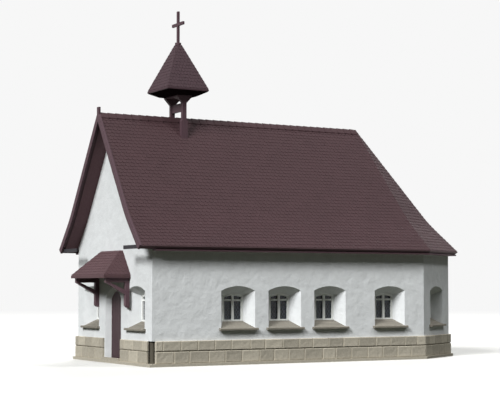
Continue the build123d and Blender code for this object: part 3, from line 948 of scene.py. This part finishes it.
@dataclass
class Plinth:
    """Two courses of cut stone blocks in place of each plain plinth strip."""

    joint_z: float = 6.1
    block: float = 7.8
    gap: float = 0.26
    bevel: float = 0.26
    columns: int = 5
    rows: int = 3
    dip: float = 0.09
    joint_wander: float = 0.8
    end_block: float = 1.0
    backing: float = 0.66
    upright_backing: float = 0.86
    # The backing stops short of the stones' ends and heads, so that no two faces coincide.
    set_back: float = 0.12
    top_back: float = 0.1
    doorway_half: float = 8.8
    open_front: float = 4.2
    open_side: float = 1.3
    recess: float = 0.7
    recess_width: float = 3.0
    recess_edge: float = 0.2
    seed: int = 71

    def block_mesh(self, draft: Draft, face: Face, ends: Pair, heights: Pair, slants: Pair,
                   chance: random.Random) -> None:
        """Adds one block with a slightly uneven face and bevelled edges.

        Args:
            draft: Mesh that takes the block.
            face: Wall face that the strip lies on.
            ends: Start and end along the wall, at the wall's face.
            heights: Foot and head of the block.
            slants: How far each end moves along the wall for each millimetre out.
            chance: Seeded source of the unevenness.
        """
        columns, rows, proud = self.columns, self.rows, PLAN.plinth_proud
        points = [face.at(ends[s] + slants[s] * out, heights[z], out)
                  for out in (0.0, proud - self.bevel)
                  for s, z in ((0, 0), (1, 0), (1, 1), (0, 1))]
        start = ends[0] + slants[0] * proud + self.bevel
        end = ends[1] + slants[1] * proud - self.bevel
        low, high = heights[0] + self.bevel, heights[1] - self.bevel
        grid: list[list[int]] = []
        for row in range(rows + 1):
            grid.append([])
            for column in range(columns + 1):
                edge = column in (0, columns) or row in (0, rows)
                dip = 0.0 if edge else chance.uniform(0.0, self.dip)
                grid[-1].append(len(points))
                points.append(face.at(start + (end - start) * (column / columns),
                                      low + (high - low) * (row / rows), proud - dip))
        faces: list[Sequence[int]] = [(3, 2, 1, 0), *band(0, 4, 4)]
        borders = (grid[0], [line[-1] for line in grid], grid[-1][::-1],
                   [line[0] for line in grid][::-1])
        faces += [(4 + i, 4 + (i + 1) % 4, *reversed(border)) for i, border in enumerate(borders)]
        faces += [(grid[r][c], grid[r][c + 1], grid[r + 1][c + 1], grid[r + 1][c])
                  for r in range(rows) for c in range(columns)]
        draft.add(points, faces)

    def strip(self, stones: Draft, joints: Sequence[Draft], face: Face, ends: Pair, slants: Pair,
              chance: random.Random) -> None:
        """Adds the two courses of one strip and what shows between the stones.

        Args:
            stones: Mesh that takes the blocks.
            joints: Meshes that take the backing of the upright joints and of the bed joint.
            face: Wall face that the strip lies on.
            ends: Start and end along the wall, at the wall's face.
            slants: How far each end moves along the wall for each millimetre out.
            chance: Seeded source of the unevenness.
        """
        half = self.gap / 2
        inside = (ends[0] + self.set_back, ends[1] - self.set_back)
        joints[1].prism(face.rectangle(inside, (self.joint_z - half, self.joint_z + half)),
                        face.outward * self.backing)
        count = max(1, round((ends[1] - ends[0]) / self.block))
        width = (ends[1] - ends[0]) / count
        courses = ((PLAN.ground, self.joint_z - half, self.joint_z - half),
                   (self.joint_z + half, PLAN.plinth_top, PLAN.plinth_top - self.top_back))
        for number, (low, high, joint_top) in enumerate(courses):
            joints[0].prism(face.rectangle(inside, (low, joint_top)),
                            face.outward * self.upright_backing)
            # The upper course is half a block out of step with the lower one.
            cuts = [ends[0] + (i + number / 2) * width for i in range(count + 1)]
            cuts = [c + chance.uniform(-self.joint_wander, self.joint_wander) for c in cuts
                    if ends[0] + self.end_block < c < ends[1] - self.end_block]
            starts = (ends[0], *(c + half for c in cuts))
            stops = (*(c - half for c in cuts), ends[1])
            for i, across in enumerate(zip(starts, stops)):
                ends_slant = (0.0 if i else slants[0], 0.0 if i < len(cuts) else slants[1])
                self.block_mesh(stones, face, across, (low, high), ends_slant, chance)

    def build(self) -> None:
        """Makes the stones and joints of all the strips."""
        chance = random.Random(self.seed)
        front_end = PLAN.half_width + PLAN.plinth_proud
        back = PLAN.apex.y - PLAN.front_y
        spread = [PLAN.spread(side) for side in range(4)]
        reach = [PLAN.half_width * share for share in spread]
        strips = {
            "front": [(front_face(), (-front_end, -self.doorway_half), (0.0, 0.0)),
                      (front_face(), (self.doorway_half, front_end - self.open_front),
                       (0.0, 0.0))],
            "right": [(wall_face(0), (-back + self.open_side, reach[0]), (0.0, spread[0]))],
            "left": [(wall_face(4), (-reach[3], back), (-spread[3], 0.0))],
            "apse": [(wall_face(side), (-reach[side - 1], reach[side]),
                      (-spread[side - 1], spread[side])) for side in (1, 2, 3)],
        }
        for name, parts in strips.items():
            stones = Draft(f"plinth_stones_{name}")
            joints = (Draft(f"plinth_joints_{name}"), Draft(f"plinth_bed_joint_{name}"))
            for face, ends, slants in parts:
                self.strip(stones, joints, face, ends, slants, chance)
            stones.make(Finish.STONE, replaces=[f"plinth_{name}"])
            joints[0].make(Finish.UPRIGHT_JOINT)
            joints[1].make(Finish.DARK_JOINT_AND_PAINTED_SHADE)
        self.build_painted_shade_recess()
        dress(Finish.STONE, "footing", "door_step")

    def build_painted_shade_recess(self) -> None:
        """Makes the dark block inside the open corner at the right front, painted shade for the
        shade in that recess.
        """
        x1, y0 = PLAN.half_width - self.recess, PLAN.front_y + self.recess
        x0, y1 = x1 - self.recess_width, y0 + self.recess_width
        corners = [Vector((x, y, PLAN.ground)) for x, y in ((x0, y0), (x1, y0), (x1, y1), (x0, y1))]
        recess = Draft("plinth_corner_painted_shade")
        recess.prism(corners, UP * (PLAN.plinth_top - PLAN.ground - self.recess_edge),
                     self.recess_edge)
        # Painted shade: the dark joint finish stands in for the shade inside the corner.
        recess.make(Finish.DARK_JOINT_AND_PAINTED_SHADE)


@dataclass
class Windows:
    """Glazing bars and leaded panes of every window, and the finish of frames and sills.

    The depths of bars and cames are measured inwards from the inner edge of the splay.
    """

    width: float = 16.0
    bottom: float = 14.4
    crown: float = 32.2
    rise: float = 1.9
    depth: float = 4.7
    splay: float = 34.0
    frame_width: float = 0.75
    head_steps: int = 8
    mullion: float = 1.05
    mullion_depths: Pair = (0.02, 0.68)
    mullion_chamfer: float = 0.12
    transom: float = 0.75
    transom_depths: Pair = (0.1, 0.68)
    transom_chamfer: float = 0.1
    transom_share: float = 0.19
    transom_start: float = 0.4
    tuck: float = 0.2
    lattice: float = 1.15
    lattice_lean: float = 35.0
    lattice_lines: int = 12
    came: float = 0.13
    came_thickness: float = 0.06
    came_backs: Pair = (0.70, 0.73)
    shortest_came: float = 0.2
    from_front: tuple[float, ...] = (39.3, 61.7, 84.3, 115.5)
    front_offset: float = 22.75

    @property
    def inset(self) -> float:
        """How far the splay draws the opening in, all round, and the frame with it."""
        return self.depth * math.tan(math.radians(self.splay)) + self.frame_width

    @property
    def half(self) -> float:
        """Half the width of the glass."""
        return self.width / 2 - self.inset

    @property
    def heights(self) -> Pair:
        """Foot and crown of the glass."""
        return self.bottom + self.inset, self.crown - self.inset

    def pane(self) -> list[Pair]:
        """Draws the glass that shows inside the frame.

        Returns:
            Its outline, anticlockwise, across and up.
        """
        radius = (self.width ** 2 / 4 + self.rise ** 2) / (2 * self.rise)
        arc = radius - self.inset
        reach = math.asin(self.half / arc)
        turns = [reach - 2 * reach * i / self.head_steps for i in range(self.head_steps + 1)]
        head = [(arc * math.sin(a), self.crown - radius + arc * math.cos(a)) for a in turns]
        low = self.heights[0]
        return [(-self.half, low), (self.half, low), *head]

    def faces(self) -> dict[str, list[Face]]:
        """Finds the wall faces at the windows.

        Returns:
            Faces with their origins at the windows, by the name of the wall.
        """
        start = PLAN.front_y - PLAN.apex.y
        middle = PLAN.half_width * (PLAN.spread(1) - PLAN.spread(0)) / 2
        return {
            "right": [wall_face(0, start + y) for y in self.from_front],
            "left": [wall_face(4, -start - y) for y in self.from_front],
            "apse": [wall_face(1, middle), wall_face(2), wall_face(3, -middle)],
            "front": [front_face(-self.front_offset), front_face(self.front_offset)],
        }

    def clip(self, outline: Sequence[Pair], start: Pair, direction: Pair) -> Pair | None:
        """Finds the part of a line that lies inside a convex outline.

        Args:
            outline: Corners, anticlockwise.
            start: A point of the line.
            direction: Its direction, of length one, along no side of the outline.

        Returns:
            Lowest and highest distance from the start, or None where too little is left.
        """
        low, high = -math.inf, math.inf
        for a, b in zip(outline, [*outline[1:], outline[0]]):
            nx, ny = a[1] - b[1], b[0] - a[0]
            rate = nx * direction[0] + ny * direction[1]
            place = -(nx * (start[0] - a[0]) + ny * (start[1] - a[1])) / rate
            low, high = (max(low, place), high) if rate > 0 else (low, min(high, place))
        return (low, high) if high - low > self.shortest_came else None

    def bar(self, draft: Draft, face: Face, ends: Sequence[Pair], width: float, depths: Pair,
            chamfer: float = 0.0) -> None:
        """Adds one straight bar between two places of the window.

        Args:
            draft: Mesh that takes the bar.
            face: Wall face with its origin at the window.
            ends: The two places, across and up.
            width: Width of the bar.
            depths: Depth of its front and of its back.
            chamfer: Width of the bevel round its front.
        """
        (x0, z0), (x1, z1) = ends
        length = math.hypot(x1 - x0, z1 - z0)
        nx, nz = -(z1 - z0) / length * width / 2, (x1 - x0) / length * width / 2
        corners = [face.at(x, z, -(self.depth + depths[1])) for x, z in
                   ((x0 - nx, z0 - nz), (x1 - nx, z1 - nz), (x1 + nx, z1 + nz), (x0 + nx, z0 + nz))]
        draft.prism(corners, face.outward * (depths[1] - depths[0]), chamfer)

    def add_bars(self, draft: Draft, face: Face) -> None:
        """Adds the mullion and both halves of the transom of one window.

        Args:
            draft: Mesh that takes the bars.
            face: Wall face with its origin at the window.
        """
        low, high = self.heights
        self.bar(draft, face, ((0.0, low - self.tuck), (0.0, high + self.tuck)), self.mullion,
                 self.mullion_depths, self.mullion_chamfer)
        z = high - (high - low) * self.transom_share
        for end in (-1, 1):
            self.bar(draft, face, ((end * self.mullion * self.transom_start, z),
                                   (end * (self.half + self.tuck), z)),
                     self.transom, self.transom_depths, self.transom_chamfer)

    def add_cames(self, draft: Draft, face: Face) -> None:
        """Adds the crossing cames of one window.

        Args:
            draft: Mesh that takes the cames.
            face: Wall face with its origin at the window.
        """
        outline, middle = self.pane(), sum(self.heights) / 2
        lean = math.radians(self.lattice_lean)
        for side, back in zip((-1, 1), self.came_backs):
            dx, dz = side * math.sin(lean), math.cos(lean)
            for i in range(-self.lattice_lines, self.lattice_lines + 1):
                x, z = i * self.lattice * dz, middle - i * self.lattice * dx
                part = self.clip(outline, (x, z), (dx, dz))
                if part:
                    self.bar(draft, face, [(x + dx * t, z + dz * t) for t in part], self.came,
                             (back - self.came_thickness, back))

    def build(self) -> None:
        """Makes the bars and cames of all the windows."""
        for name, faces in self.faces().items():
            bars, cames = Draft(f"window_bars_{name}"), Draft(f"window_leading_{name}")
            for face in faces:
                self.add_bars(bars, face)
                self.add_cames(cames, face)
            bars.make(Finish.WINDOW)
            cames.make(Finish.LEAD)
            dress(Finish.WINDOW, f"{name}_window_frames")
            dress(Finish.GLASS_PAINTED_SHADE, f"{name}_glazing")
            dress(Finish.SILL, f"{name}_sills")


@dataclass
class Door:
    """Planks of the arched door, with a plain handle and its plate."""

    half_width: float = 7.63
    foot: float = 1.2
    crown: float = 31.13
    rise: float = 4.1
    front: float = -64.6
    thickness: float = 1.2
    planks: int = 7
    plank_chamfer: float = 0.12
    groove: float = 0.14
    groove_depth: float = 0.5
    backing_half: float = 6.9
    backing_top: float = 27.0
    plate: tuple[Pair, Pair] = ((4.6, 5.4), (12.4, 15.0))
    plate_thickness: float = 0.15
    plate_chamfer: float = 0.05
    lever: tuple[Pair, Pair] = ((3.2, 5.2), (13.9, 14.3))
    lever_thickness: float = 0.4
    lever_chamfer: float = 0.12

    def head(self, x: float) -> float:
        """Height of the arched head at a distance from the middle."""
        radius = (self.half_width ** 2 + self.rise ** 2) / (2 * self.rise)
        return self.crown - radius + math.sqrt(radius * radius - x * x)

    def build(self) -> None:
        """Makes the planks and the fittings."""
        face = front_face(y=self.front + self.thickness)
        leaf = Draft("door_planks")
        width = 2 * self.half_width / self.planks
        for i in range(self.planks):
            x0 = -self.half_width + i * width
            x1 = -self.half_width + (i + 1) * width
            if i > 0:
                x0 += self.groove / 2
            if i < self.planks - 1:
                x1 -= self.groove / 2
            heads = [(x, self.head(x)) for x in (x1, x1 - (x1 - x0) / 3, x0 + (x1 - x0) / 3, x0)]
            outline = [face.at(x, z) for x, z in ((x0, self.foot), (x1, self.foot), *heads)]
            leaf.prism(outline, face.outward * self.thickness, self.plank_chamfer)
        leaf.prism(face.rectangle((-self.backing_half, self.backing_half),
                                  (self.foot, self.backing_top)),
                   face.outward * (self.thickness - self.groove_depth))
        leaf.make(Finish.DOOR, replaces=["door_leaf"])
        fittings = Draft("door_handle")
        fittings.prism(face.rectangle(*self.plate, self.thickness),
                       face.outward * self.plate_thickness, self.plate_chamfer)
        fittings.prism(face.rectangle(*self.lever, self.thickness + self.plate_thickness),
                       face.outward * self.lever_thickness, self.lever_chamfer)
        fittings.make(Finish.IRON)


@dataclass
class Trim:
    """Finish of the walls and boards from the CAD model, and the thin eave returns."""

    return_ends: Pair = (24.24, 40.24)
    return_heights: Pair = (47.05, 48.6)
    return_board: float = 0.6
    return_chamfer: float = 0.15

    def build_returns(self) -> None:
        """Makes the short boards across the gable at both eaves, coloured near black as painted
        shade.
        """
        draft = Draft("eave_return_boards")
        face = front_face(y=PLAN.verge_y + self.return_board)
        near, far = self.return_ends
        for side in (-1, 1):
            draft.prism(face.rectangle((side * near, side * far), self.return_heights),
                        face.outward * self.return_board, self.return_chamfer)
        draft.make(Finish.RETURN_BOARD_PAINTED_SHADE, replaces=["eave_returns"])

    def build(self) -> None:
        """Dresses the walls, soffits and boards."""
        dress(Finish.PLASTER, "front_wall", "right_wall", "left_wall", "apse_right_wall",
              "apse_end_wall", "apse_left_wall")
        dress(Finish.TIMBER_Y, "soffit_right", "soffit_left")
        dress(Finish.TIMBER_X, "soffit_apse", "bargeboard_right", "bargeboard_left")
        self.build_returns()


# Stage

@dataclass(frozen=True)
class Lamp:
    """One soft studio lamp that lights the whole model evenly.

    Attributes:
        name: Name of the lamp.
        toward: Direction from the model to the lamp.
        strength: Irradiance square to its rays.
        softness: Angle in degrees across the lamp as the model sees it.
    """

    name: str
    toward: tuple[float, float, float]
    strength: float
    softness: float


@dataclass
class Studio:
    """Pale floor, soft studio lamps and the camera.

    The floor's lengths and the camera's clip are in metres.
    """

    eye: tuple[float, float, float] = (540.70, -310.32, 31.34)
    look: tuple[float, float, float] = (-0.86635, 0.49616, 0.05720)
    focal_px: float = 1399.0
    image_px: float = 500.0
    sensor: float = 36.0
    clip: Pair = (0.01, 50.0)
    lamps: tuple[Lamp, ...] = (
        Lamp("front_lamp", (0.37, -0.82, 0.66), 4.2, 20.0),
        Lamp("top_lamp", (0.34, -0.2, 0.88), 1.1, 14.0),
        Lamp("rear_lamp", (0.38, 0.45, 0.8), 1.0, 14.0),
        Lamp("far_side_lamp", (-0.62, 0.45, 0.64), 1.6, 20.0),
    )
    fill: float = 0.05
    fill_hex: str = "#eef3ff"
    floor_hex: str = "#d9d9d6"
    floor_tones: Pair = (0.99, 1.01)
    floor_pattern: Noise = Noise(40.0)
    floor_roughness: float = 0.9
    floor_specular: float = 0.1
    bounce_hex: str = "#3a3c30"
    backdrop: float = 0.93
    floor_half: float = 6.0
    fade: Pair = (0.35, 1.4)

    @staticmethod
    def seen(tree: NodeTree) -> NodeSocket:
        """Picks the rays that show the backdrop: from the camera, off gloss, through glass.

        Args:
            tree: Node tree of the floor or the world.

        Returns:
            Socket that is one for those rays and nothing for the others.
        """
        path = add_node(tree, "ShaderNodeLightPath").outputs
        gloss = add_node(tree, "ShaderNodeMath", {
            0: path["Is Camera Ray"], 1: path["Is Glossy Ray"]}, operation="MAXIMUM")
        return add_node(tree, "ShaderNodeMath", {
            0: gloss.outputs[0], 1: path["Is Transmission Ray"]}, operation="MAXIMUM").outputs[0]

    def floor(self) -> None:
        """Makes the floor: pale, and fading into the backdrop's white away from the model."""
        mesh = bpy.data.meshes.new("floor")
        half = self.floor_half
        mesh.from_pydata([(-half, -half, 0), (half, -half, 0), (half, half, 0), (-half, half, 0)],
                         [], [(0, 1, 2, 3)])
        add_object("floor", mesh)
        # Matt paper with faint clouds, which gives the eye a plain pale ground.
        material = new_material("pale_paper_floor")
        mesh.materials.append(material)
        tree = material.node_tree
        shader = tree.nodes["Principled BSDF"]
        place = add_node(tree, "ShaderNodeTexCoord").outputs["Object"]
        paper = add_node(tree, "ShaderNodeTexNoise", self.floor_pattern.over(place))
        feed(tree, shader, {
            "Base Color": toned(tree, self.floor_hex, paper.outputs["Fac"], self.floor_tones),
            "Roughness": self.floor_roughness, "Specular IOR Level": self.floor_specular})
        far = add_node(tree, "ShaderNodeVectorMath", {0: place}, operation="LENGTH")
        share = add_node(tree, "ShaderNodeMapRange", {
            "Value": far.outputs["Value"], "From Min": self.fade[0], "From Max": self.fade[1]},
            interpolation_type="SMOOTHSTEP")
        ray = self.seen(tree)
        shown = add_node(tree, "ShaderNodeMath", {0: share.outputs[0], 1: ray},
                         operation="MULTIPLY")
        glow = add_node(tree, "ShaderNodeEmission", {"Color": WHITE, "Strength": self.backdrop})
        mixed = add_node(tree, "ShaderNodeMixShader", {
            0: shown.outputs[0], 1: shader.outputs[0], 2: glow.outputs[0]})
        ground = add_node(tree, "ShaderNodeBsdfDiffuse", {"Color": linear(self.bounce_hex)})
        surface = add_node(tree, "ShaderNodeMixShader", {
            0: ray, 1: ground.outputs[0], 2: mixed.outputs[0]})
        feed(tree, tree.nodes["Material Output"], {"Surface": surface.outputs[0]})

    def world(self) -> None:
        """Makes the even fill light, white where the camera looks past the floor."""
        world = bpy.data.worlds.new("studio_world")
        world.use_nodes = True
        tree = world.node_tree
        tree.nodes.clear()
        fill = add_node(tree, "ShaderNodeBackground", {
            "Color": linear(self.fill_hex), "Strength": self.fill})
        white = add_node(tree, "ShaderNodeBackground", {"Color": WHITE, "Strength": self.backdrop})
        mixed = add_node(tree, "ShaderNodeMixShader", {
            0: self.seen(tree), 1: fill.outputs[0], 2: white.outputs[0]})
        add_node(tree, "ShaderNodeOutputWorld", {"Surface": mixed.outputs[0]})
        bpy.context.scene.world = world

    def light(self) -> None:
        """Makes the lamps."""
        for lamp in self.lamps:
            data = bpy.data.lights.new(lamp.name, "SUN")
            data.energy = lamp.strength
            data.angle = math.radians(lamp.softness)
            sun = add_object(lamp.name, data)
            sun.rotation_euler = Vector(lamp.toward).to_track_quat("Z", "Y").to_euler()
            sun.location = Vector(lamp.toward)

    def camera(self) -> None:
        """Makes the camera from the photograph's fitted view."""
        data = bpy.data.cameras.new("camera")
        data.sensor_width = self.sensor
        data.lens = self.focal_px * self.sensor / self.image_px
        data.clip_start, data.clip_end = self.clip
        camera = add_object("camera", data)
        camera.location = Vector(self.eye) * MM
        camera.rotation_euler = Vector(self.look).to_track_quat("-Z", "Y").to_euler()
        bpy.context.scene.camera = camera

    def build(self) -> None:
        """Sets up the whole stage."""
        self.floor()
        self.world()
        self.light()
        self.camera()
        bpy.context.scene.view_settings.view_transform = "Standard"


def main() -> None:
    """Builds the stage and every sub-assembly in order."""
    logging.basicConfig(level=logging.INFO, format="%(name)s: %(message)s")
    Studio().build()
    for assembly in (MainRoof(), Porch(), Turret(), Plinth(), Windows(), Door(), Trim()):
        LOG.info("building %s", type(assembly).__name__)
        assembly.build()
    bpy.context.view_layer.update()


if __name__ == "__main__":
    main()
